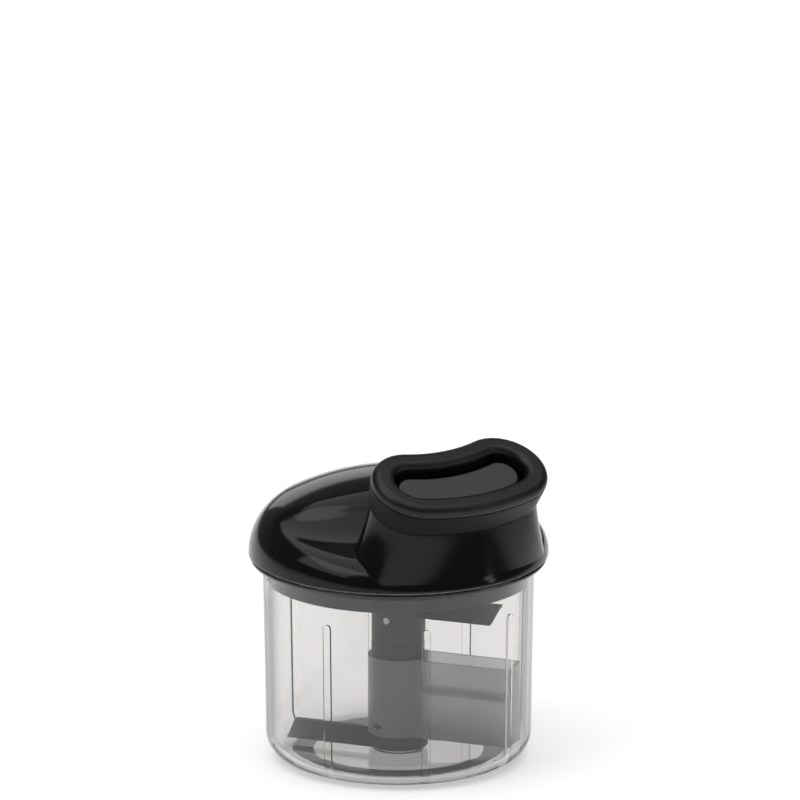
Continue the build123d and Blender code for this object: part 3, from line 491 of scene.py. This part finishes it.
@dataclass(frozen=True)
class Braided(Finish):
    """Cord of crossing strands.

    They follow the lay attribute, which holds the way out from the cord's line and the length along it.

    Attributes:
        strands: number of strands that go round each way.
        pitch: length in which a strand goes once round.
        crossing: half the width of the change from one strand to the next, against their height.
        over_tone: colour of the strands that lie one way, as a share of the cord's.
        under_tone: colour of those that lie the other way.
        gap_shade_tone: painted shade between the strands, as a share of the cord's colour.
        gap_band: part of a strand's height over which the painted shade of the gap ends.
    """

    strands: int = 8
    pitch: float = 0.0052
    crossing: float = 0.25
    over_tone: float = 1.35
    under_tone: float = 0.75
    gap_shade_tone: float = 0.3
    gap_band: Band = (0.55, 0.95)

    def weave(self, bench: Bench) -> tuple[Wire, Wire]:
        """Two crossing sets of strands.

        Args:
            bench: the material's nodes.

        Returns:
            Height of the braid, and the share of the strand that lies on top.
        """
        lay = bench.add("ShaderNodeAttribute", {"attribute_name": "lay"}, out="Vector")
        turn = bench.add("ShaderNodeMath", {"operation": "ARCTAN2"},
                         {0: bench.part(lay, "Y"), 1: bench.part(lay, "X")}) * (self.strands / 2)
        run = bench.part(lay, "Z") * (pi * self.strands / self.pitch)
        over = abs((turn + run).sine())
        under = abs((turn - run).sine())
        return over.most(under), (over - under).band(-self.crossing, self.crossing)

    def tint(self, bench: Bench) -> Wire:
        """Strand colours, with painted shade in the gaps between them.

        Args:
            bench: the material's nodes.

        Returns:
            The colour.
        """
        height, top = self.weave(bench)
        under, over = shade(self.colour, self.under_tone), shade(self.colour, self.over_tone)
        strand = bench.blend(top, under, over)
        # Painted shade darkens the low gaps between the strands.
        return bench.blend(height.band(*self.gap_band), shade(self.colour, self.gap_shade_tone), strand)

    def relief(self, bench: Bench) -> Wire:
        """Rounded strands."""
        return self.weave(bench)[0]


def dress(finish: Finish, *nodes: str) -> None:
    """Give a finish to CAD nodes.

    Args:
        finish: the finish.
        nodes: names of the nodes.
    """
    material = finish.make()
    for node in nodes:
        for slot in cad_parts[node].material_slots:
            slot.material = material
        LOG.info("%s: %s", node, finish.name)


def as_object(name: str, bm: bmesh.types.BMesh, finish: Finish) -> bpy.types.Object:
    """Make an object of a finished bmesh.

    Args:
        name: the piece's name.
        bm: its mesh, which is freed.
        finish: its finish.

    Returns:
        The object, at the origin, with smooth faces.
    """
    mesh = bpy.data.meshes.new(name)
    bm.to_mesh(mesh)
    bm.free()
    mesh.materials.append(finish.make())
    mesh.polygons.foreach_set("use_smooth", [True] * len(mesh.polygons))
    piece = bpy.data.objects.new(name, mesh)
    bpy.context.scene.collection.objects.link(piece)
    LOG.info("%s: %d faces", name, len(mesh.polygons))
    return piece


@dataclass
class Bowl:
    """Clear bowl and the soft ring under it."""

    wall: Finish = Clear("clear_bowl", grey(0.80, 0.014), 0.004, mottle=0.015, mottle_size=0.05,
                         grain_depth=0.000006, rim_r=0.071,
                         shader={"Transmission Weight": 1.0, "IOR": 1.5})
    foot: Finish = Finish("foot_rubber", grey(0.55), 0.78, grain=0.0007, grain_depth=0.00005)

    def build(self) -> None:
        """Dress the bowl and its ring."""
        dress(self.wall, "bowl")
        dress(self.foot, "non_slip_ring")


@dataclass
class BladeUnit:
    """Spindle with its paddle and hexagon, the two blades, and the bush it turns on."""

    spindle: Finish = Finish("spindle_black", grey(0.019, 0.02), 0.44, grain_depth=0.000016,
                             edge=0.0004, wear=0.4, shader={"Specular IOR Level": 0.32})
    dot: Finish = Finish("dot_white", grey(0.93, 0.01), 0.42, mottle=0.05, grain=0.0002)
    bush: Finish = Finish("bearing_plastic", grey(0.62, 0.03), 0.4, mottle=0.06)
    blade: Finish = Brushed("blade_steel", (0.80, 0.80, 0.76, 1.0), 0.42, mottle=0.04, haze=0.08,
                            grain_depth=0.000004, edge=0.0002, wear=0.3, turn=radians(-34.0),
                            shader={"Metallic": 1.0, "Anisotropic": 0.3})

    def build(self) -> None:
        """Dress the blade unit."""
        dress(self.spindle, "spindle_sleeve", "spindle_head")
        dress(self.dot, "index_dot")
        dress(self.bush, "pin_bush")
        dress(self.blade, "lower_blade", "upper_blade")


@dataclass
class GuardAndScraper:
    """Milky guard over the blades and the black scraper ring."""

    guard: Finish = Finish("guard_clear", grey(0.82, 0.002), 0.32, mottle=0.04, haze=0.06,
                           grain=0.0009, grain_depth=0.00002,
                           shader={"Transmission Weight": 0.78, "IOR": 1.3})
    scraper: Finish = Finish("scraper_black", grey(0.009, 0.02), 0.42, grain_depth=0.000016,
                             edge=0.0004, wear=0.4, shader={"Specular IOR Level": 0.32})

    def build(self) -> None:
        """Dress the guard and the scraper ring."""
        dress(self.guard, "blade_guard")
        dress(self.scraper, "scraper_ring")


@dataclass
class Lid:
    """Gloss lid with its dock plate, inner cover and seal."""

    shell: Finish = Finish("lid_gloss", grey(0.003, 0.02), 0.12, haze=0.03, haze_size=0.02,
                           grain=0.003, grain_depth=0.000004, edge=0.0012, wear=0.05,
                           shader={"Specular IOR Level": 0.24})
    cover: Finish = Finish("cover_dark", grey(0.0035, 0.02), 0.16, haze=0.03, grain=0.002,
                           edge=0.0005, wear=0.2, shader={"Specular IOR Level": 0.24})
    dock: Finish = Finish("dock_satin", grey(0.012, -0.01), 0.34, grain=0.0003,
                          grain_depth=0.000012, edge=0.0005, wear=0.3)
    seal: Finish = Finish("seal_silicone", grey(0.88), 0.14, grain=0.0006, grain_depth=0.00001,
                          shader={"Transmission Weight": 0.85, "IOR": 1.41})
    guide: Finish = Finish("guide_plastic", grey(0.55, 0.03), 0.3, mottle=0.06)
    brass: Finish = Turned("eyelet_brass", (0.62, 0.42, 0.17, 1.0), 0.26, mottle=0.2,
                           mottle_size=0.003, edge=0.0002, wear=0.3, shader={"Metallic": 1.0})

    def build(self) -> None:
        """Dress the lid."""
        dress(self.shell, "lid_shell")
        dress(self.cover, "lid_base")
        dress(self.dock, "dock_plate")
        dress(self.seal, "lid_seal")
        dress(self.guide, "cord_guide")
        dress(self.brass, "cord_eyelet")


@dataclass
class PullHandle:
    """Hard lower shell and soft upper ring of the handle, with what holds the cord in it."""

    shell: Finish = Finish("handle_satin", grey(0.003, 0.01), 0.38, haze=0.05, grain=0.0004,
                           grain_depth=0.00001, edge=0.0006, wear=0.2,
                           shader={"Specular IOR Level": 0.12})
    grip: Finish = Finish("grip_soft", grey(0.0026, 0.01), 0.38, haze=0.06, grain=0.00035,
                          grain_depth=0.00002, edge=0.0008, wear=0.2,
                          shader={"Specular IOR Level": 0.34})
    ferrule: Finish = Turned("anchor_steel", grey(0.5, 0.01), 0.3, mottle=0.1, shader={"Metallic": 1.0})

    def build(self) -> None:
        """Dress the handle."""
        dress(self.shell, "handle_shell")
        dress(self.grip, "handle_grip")
        dress(self.ferrule, "cord_anchor")


@dataclass
class Drive:
    """Drum, clutch, hub and spring inside the lid, and the cord wound on the drum.

    Attributes:
        cord_r: radius of the cord.
        sides: sides of its tube.
        turn_r: radius that it is wound at.
        low: height of the lowest turn's line.
        pitch: height from turn to turn.
        turns: number of turns.
        steps: steps of the helix.
        gears: finish of the moulded pieces.
        fixings: finish of the screws, the axle and the clip.
        spring: finish of the spring.
    """

    cord_r: float = CORD_R
    sides: int = 12
    turn_r: float = 0.0152
    low: float = 0.1057
    pitch: float = 0.00243
    turns: float = 3.6
    steps: int = 180
    gears: Finish = Finish("drive_plastic", grey(0.5, 0.04), 0.38, mottle=0.05, edge=0.0003, wear=0.2)
    fixings: Finish = Turned("fixing_steel", grey(0.55), 0.3, mottle=0.08, edge=0.0002, wear=0.4,
                             shader={"Metallic": 1.0})
    spring: Finish = Finish("spring_steel", (0.20, 0.21, 0.26, 1.0), 0.26, mottle=0.25,
                            mottle_size=0.006, shader={"Metallic": 1.0})

    def winding(self, cord: Finish) -> bpy.types.Object:
        """Wind the cord on the drum.

        Args:
            cord: the cord's finish.

        Returns:
            The winding, as one helix.
        """
        bm = bmesh.new()
        lay = bm.verts.layers.float_vector.new("lay")
        ring = bmesh.ops.create_circle(bm, cap_ends=False, radius=self.cord_r,
                                       segments=self.sides)["verts"]
        upright = Matrix.Rotation(radians(90.0), 3, "X")
        bmesh.ops.rotate(bm, cent=(0, 0, 0), matrix=upright, verts=ring)
        bmesh.ops.translate(bm, vec=(self.turn_r, 0, self.low), verts=ring)
        bmesh.ops.spin(bm, geom=bm.edges[:], cent=(0, 0, 0), axis=(0, 0, 1),
                       dvec=(0, 0, self.pitch * self.turns / self.steps), angle=2 * pi * self.turns,
                       steps=self.steps, use_merge=False, use_duplicate=False)
        bmesh.ops.holes_fill(bm, edges=[edge for edge in bm.edges if edge.is_boundary], sides=0)
        bmesh.ops.recalc_face_normals(bm, faces=bm.faces[:])
        for vert in bm.verts:
            reach = Vector(vert.co.xy).length - self.turn_r
            angle = atan2(vert.co.y, vert.co.x) / (2 * pi)
            turn = round((vert.co.z - self.low) / self.pitch - angle)
            rise = vert.co.z - self.low - (turn + angle) * self.pitch
            run = (turn + angle) * 2 * pi * self.turn_r
            vert[lay] = (reach / self.cord_r, rise / self.cord_r, run)
        return as_object("cord_turns", bm, cord)

    def build(self, cord: Finish) -> None:
        """Dress the drive and wind its cord.

        Args:
            cord: the cord's finish.
        """
        dress(self.gears, "hub_bush", "drive_hub", "one_way_clutch", "cord_drum", "spring_cup")
        dress(self.fixings, "cover_screws", "cup_screws", "handle_screws", "drum_axle", "hub_clip")
        dress(self.spring, "recoil_spring")
        turns = self.winding(cord)
        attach(turns, "cord_drum")
        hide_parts("cord_winding")


@dataclass
class PullCord:
    """Braided cord from the drum, round the guide and through the eyelet to the handle.

    Attributes:
        radius: radius of the cord.
        sides: sides of its tube.
        coil_r: radius at which it lies round the winding.
        wrap: how far it goes round the winding, in degrees.
        wrap_steps: control points of that wrap.
        level: height of its line at the drum.
        knee: where it turns into the neck's leaning axis.
        top: where it ends in the handle.
        bend: length over which it turns a corner.
        pull: length that the handle draws out.
        loose: share of the way from the knee to the top where the drawn length starts.
        tied: share of the way back from the top where it ends.
        spline_order: order of the line's spline.
        spline_steps: points of the line from one control point to the next.
        finish: finish of the cord.
    """

    radius: float = CORD_R
    sides: int = 16
    coil_r: float = 0.01775
    wrap: float = 150.0
    wrap_steps: int = 5
    level: float = 0.1059
    knee: tuple[float, float, float] = (0.03408, 0.0, 0.1372)
    top: tuple[float, float, float] = (0.03898, 0.0, 0.14772)
    bend: float = 0.014
    pull: float = 0.32
    loose: float = 0.1
    tied: float = 0.05
    spline_order: int = 3
    spline_steps: int = 16
    finish: Finish = Braided("cord_fabric", grey(0.05, 0.01), 0.72, grain_depth=0.00025,
                             shader={"Sheen Weight": 0.2, "Sheen Roughness": 0.5})

    def at_drum(self, reach: float, angle: float) -> Vector:
        """Point at the drum, at a reach from its axis and an angle about it in radians."""
        return Vector((reach * cos(angle), reach * sin(angle), self.level))

    def route(self) -> list[Vector]:
        """Control points of the cord's line.

        Returns:
            The points, from the drum to the handle.
        """
        knee, top = Vector(self.knee), Vector(self.top)
        corner = Vector((knee.x, 0.0, self.level))
        leave = -acos(self.coil_r / corner.x)
        step = radians(self.wrap) / self.wrap_steps
        reach = self.coil_r / cos(step / 2)
        points = [self.at_drum(reach, leave - step * (left - 0.5))
                  for left in range(self.wrap_steps, 0, -1)]
        points.append(self.at_drum(self.coil_r, leave))
        across = (points[-1] - corner).normalized()
        points += [corner + across * self.bend, corner, corner + Vector((0, 0, self.bend)),
                   knee - Vector((0, 0, self.bend / 2)), knee, top]
        return points

    def line(self) -> list[Vector]:
        """Points read from the route's spline.

        Returns:
            The points, in order.
        """
        data = bpy.data.curves.new("cord_line", "CURVE")
        data.dimensions = "3D"
        data.resolution_u = self.spline_steps
        route = self.route()
        spline = data.splines.new("NURBS")
        spline.points.add(len(route) - 1)
        for point, spot in zip(spline.points, route):
            point.co = (*spot, 1.0)
        spline.order_u = self.spline_order
        spline.use_endpoint_u = True
        guide = bpy.data.objects.new("cord_line", data)
        mesh = bpy.data.meshes.new_from_object(guide)
        points = [vert.co.copy() for vert in mesh.vertices]
        bpy.data.meshes.remove(mesh)
        bpy.data.objects.remove(guide)
        bpy.data.curves.remove(data)
        return points

    def drawn(self, point: Vector, start: Vector, end: Vector) -> float:
        """Length that the full pull adds up to a point, by a smooth step.

        Args:
            point: the point on the cord's line.
            start: where the drawn length starts.
            end: where it ends.

        Returns:
            The length, from 0 to the full pull.
        """
        span = (point - start).dot(end - start) / (end - start).length_squared
        span = min(max(span, 0.0), 1.0)
        return self.pull * span * span * (3 - 2 * span)

    def tube(self, start: Vector, end: Vector) -> bmesh.types.BMesh:
        """Draw the cord's tube along its line, ring by ring.

        Args:
            start: where the drawn length starts.
            end: where it ends.

        Returns:
            The closed tube, with its lay.
        """
        points = self.line()
        bm = bmesh.new()
        lay = bm.verts.layers.float_vector.new("lay")
        ring = bmesh.ops.create_circle(bm, cap_ends=False, radius=self.radius,
                                       segments=self.sides)["verts"]
        heading = (points[1] - points[0]).normalized()
        turn = Vector((0, 0, 1)).rotation_difference(heading)
        across = turn @ Vector((1, 0, 0))
        bmesh.ops.rotate(bm, cent=(0, 0, 0), matrix=turn.to_matrix(), verts=ring)
        bmesh.ops.translate(bm, vec=points[0], verts=ring)
        edges = bm.edges[:]
        rims = [edges]
        run = 0.0
        for index, point in enumerate(points):
            if index:
                ahead = points[min(index + 1, len(points) - 1)] - points[index - 1]
                bend = heading.rotation_difference(ahead.normalized())
                made = bmesh.ops.extrude_edge_only(bm, edges=edges)["geom"]
                ring = [part for part in made if isinstance(part, bmesh.types.BMVert)]
                edges = [part for part in made if isinstance(part, bmesh.types.BMEdge)]
                bmesh.ops.translate(bm, vec=point - points[index - 1], verts=ring)
                bmesh.ops.rotate(bm, cent=point, matrix=bend.to_matrix(), verts=ring)
                heading, across = bend @ heading, bend @ across
                run += (point - points[index - 1]).length
            length = run + self.drawn(point, start, end)
            beside = heading.cross(across)
            for vert in ring:
                out = (vert.co - point) / self.radius
                vert[lay] = (out.dot(across), out.dot(beside), length)
        rims.append(edges)
        for rim in rims:
            bmesh.ops.edgeloop_fill(bm, edges=rim)
        bmesh.ops.recalc_face_normals(bm, faces=bm.faces[:])
        return bm

    def build(self) -> None:
        """Make the cord from the drum to the handle, and hide the CAD's pull cord."""
        knee, top = Vector(self.knee), Vector(self.top)
        start = knee + (top - knee) * self.loose
        end = top + (knee - top) * self.tied
        cord = as_object("braided_cord", self.tube(start, end), self.finish)
        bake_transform(cord)
        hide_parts("pull_cord")


@dataclass(frozen=True)
class Softbox:
    """A soft light that faces the object.

    Attributes:
        name: its name.
        side: where it stands.
        elevation: its height as an angle, in degrees.
        far: its distance.
        size: its width and height.
        power: its power, in watts.
    """

    name: str
    side: Side
    elevation: float
    far: float
    size: tuple[float, float]
    power: float


@dataclass
class Studio:
    """Pale floor, soft light, and the camera at the photograph's angle.

    Attributes:
        azimuth: the camera's angle about the object, in degrees.
        elevation: its angle above the floor, in degrees.
        distance: its distance.
        frame_width: width of what it shows at that distance.
        aim: the point that it looks at.
        sensor: width of its sensor, in millimetres.
        sight: how far it sees.
        floor_reach: half the width of the floor.
        floor_finish: finish of the floor.
        sky_tone: colour of the light from all round.
        sky_strength: strength of that light.
        light_level: height that the softboxes face.
        lights: the softboxes.
    """

    azimuth: float = 55.3
    elevation: float = 15.5
    distance: float = 5.0
    frame_width: float = 0.3816
    aim: tuple[float, float, float] = (0.0004, 0.0006, 0.1762)
    sensor: float = 36.0
    sight: float = 100.0
    floor_reach: float = 9.0
    floor_finish: Finish = Finish("studio_floor", grey(0.86), 0.62, mottle=0.01, mottle_size=0.4,
                                  haze=0.03, shader={"Emission Color": grey(1.0),
                                                     "Emission Strength": 0.45})
    sky_tone: Colour = (0.95, 0.97, 1.0, 1.0)
    sky_strength: float = 0.12
    light_level: float = 0.12
    lights: tuple[Softbox, ...] = (
        Softbox("key", Side.LEFT, elevation=46.0, far=1.9, size=(1.4, 1.2), power=8.0),
        Softbox("strip", Side.RIGHT, elevation=26.0, far=1.6, size=(0.16, 1.3), power=1.6),
        Softbox("back", Side.BACK, elevation=13.0, far=2.3, size=(2.2, 0.7), power=4.5),
        Softbox("top", Side.FRONT, elevation=86.0, far=2.8, size=(4.2, 4.2), power=78.0),
    )

    def heading(self, right: float, elevation: float) -> Vector:
        """Direction from the object at an angle right of the camera and above the floor."""
        turn, rise = radians(self.azimuth + right), radians(elevation)
        return Vector((sin(turn) * cos(rise), -cos(turn) * cos(rise), sin(rise)))

    def floor(self) -> None:
        """Lay the floor."""
        bm = bmesh.new()
        bmesh.ops.create_grid(bm, x_segments=4, y_segments=4, size=self.floor_reach)
        as_object("floor", bm, self.floor_finish)

    def sky(self) -> None:
        """Dim even light from all round."""
        world = bpy.data.worlds.new("studio")
        world.use_nodes = True
        glow = world.node_tree.nodes["Background"].inputs
        glow["Color"].default_value = self.sky_tone
        glow["Strength"].default_value = self.sky_strength
        bpy.context.scene.world = world

    def hang(self, light: Softbox) -> None:
        """Hang one softbox.

        Args:
            light: the softbox.
        """
        data = bpy.data.lights.new(light.name, "AREA")
        data.shape = "RECTANGLE"
        data.size, data.size_y = light.size
        data.energy = light.power
        lamp = bpy.data.objects.new(light.name, data)
        away = self.heading(light.side.value, light.elevation)
        lamp.location = Vector((0, 0, self.light_level)) + away * light.far
        lamp.rotation_euler = away.to_track_quat("Z", "Y").to_euler()
        bpy.context.scene.collection.objects.link(lamp)

    def camera(self) -> None:
        """Set the camera."""
        data = bpy.data.cameras.new("photo_view")
        data.sensor_width = self.sensor
        data.lens = self.sensor * self.distance / self.frame_width
        data.clip_end = self.sight
        eye = bpy.data.objects.new("photo_view", data)
        back = self.heading(0.0, self.elevation)
        eye.location = Vector(self.aim) + back * self.distance
        eye.rotation_euler = back.to_track_quat("Z", "Y").to_euler()
        bpy.context.scene.collection.objects.link(eye)
        bpy.context.scene.camera = eye

    def build(self) -> None:
        """Set up the whole studio."""
        self.floor()
        self.sky()
        for light in self.lights:
            self.hang(light)
        self.camera()
        bpy.context.scene.view_settings.view_transform = "Standard"


def main() -> None:
    """Build every sub-assembly in order, then the studio."""
    logging.basicConfig(level=logging.INFO, format="%(name)s %(message)s")
    cord = PullCord()
    for part in (Bowl(), BladeUnit(), GuardAndScraper(), Lid(), PullHandle(), cord):
        part.build()
    Drive().build(cord.finish)
    Studio().build()


if __name__ == "__main__":
    main()
